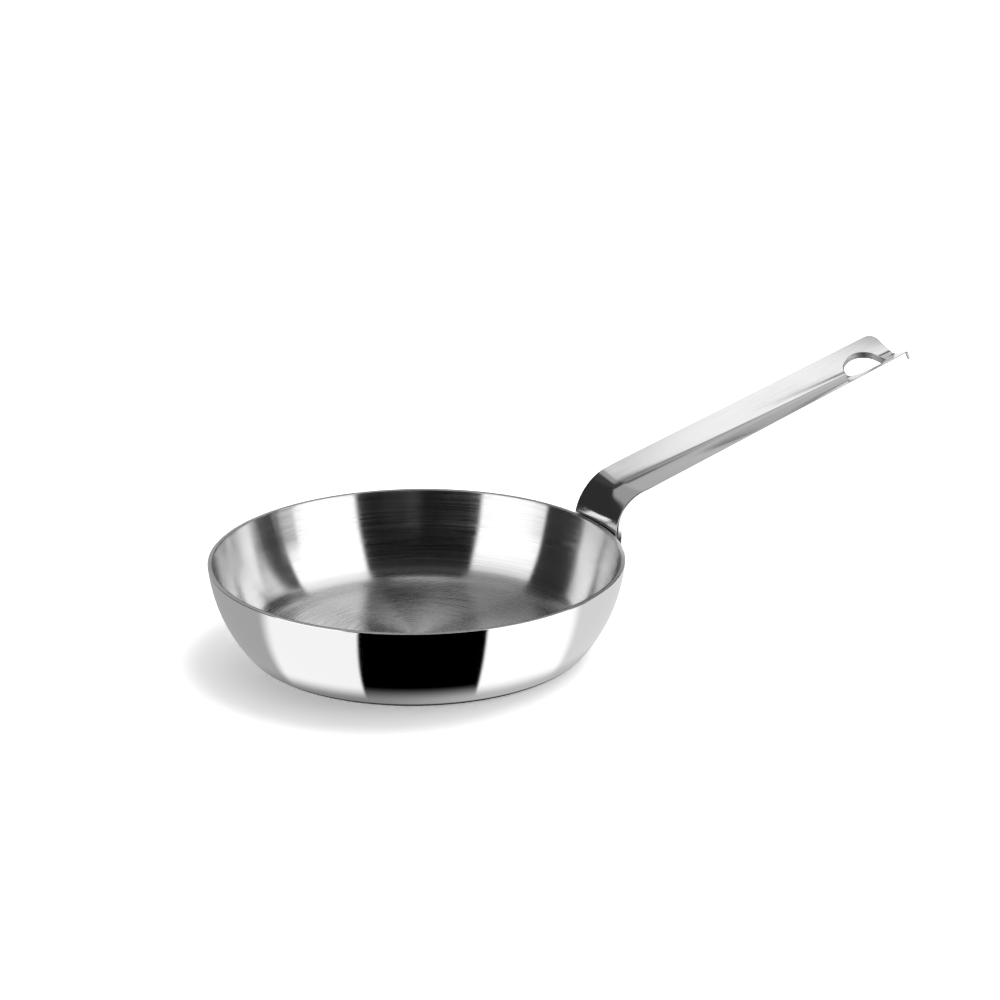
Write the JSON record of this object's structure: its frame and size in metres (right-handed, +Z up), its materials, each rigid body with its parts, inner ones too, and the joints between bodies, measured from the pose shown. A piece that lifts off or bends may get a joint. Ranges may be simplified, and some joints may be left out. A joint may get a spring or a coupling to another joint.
{
  "type": "blini pan",
  "caption": "Small round frying pan of clad sheet steel with a curved wall, brushed inside and mirror-polished outside, and a bent trough-shaped strap handle with a hang hole.",
  "frame": {"origin": "middle of the flat underside of the base, on the pan's axis", "axes": "+Z up along the pan's axis, +X along the handle, away from the pan"},
  "size_m": [0.2249, 0.12, 0.0665],
  "materials": {
    "polished_steel": "mirror-polished stainless steel outside of the pan",
    "core_aluminium": "plain rolled aluminium, bonded between the two steels",
    "brushed_steel": "satin, brushed round the pan's axis",
    "handle_steel": "polished stainless steel strap",
    "weld_steel": "bare resistance-welded steel"
  },
  "bodies": {
    "root": {"outer_steel_layer": "polished_steel", "aluminium_core": "core_aluminium", "inner_steel_layer": "brushed_steel", "handle_strap": "handle_steel", "weld_spot_1": "weld_steel", "weld_spot_2": "weld_steel", "weld_spot_3": "weld_steel", "weld_spot_4": "weld_steel"}
  },
  "joints": []
}
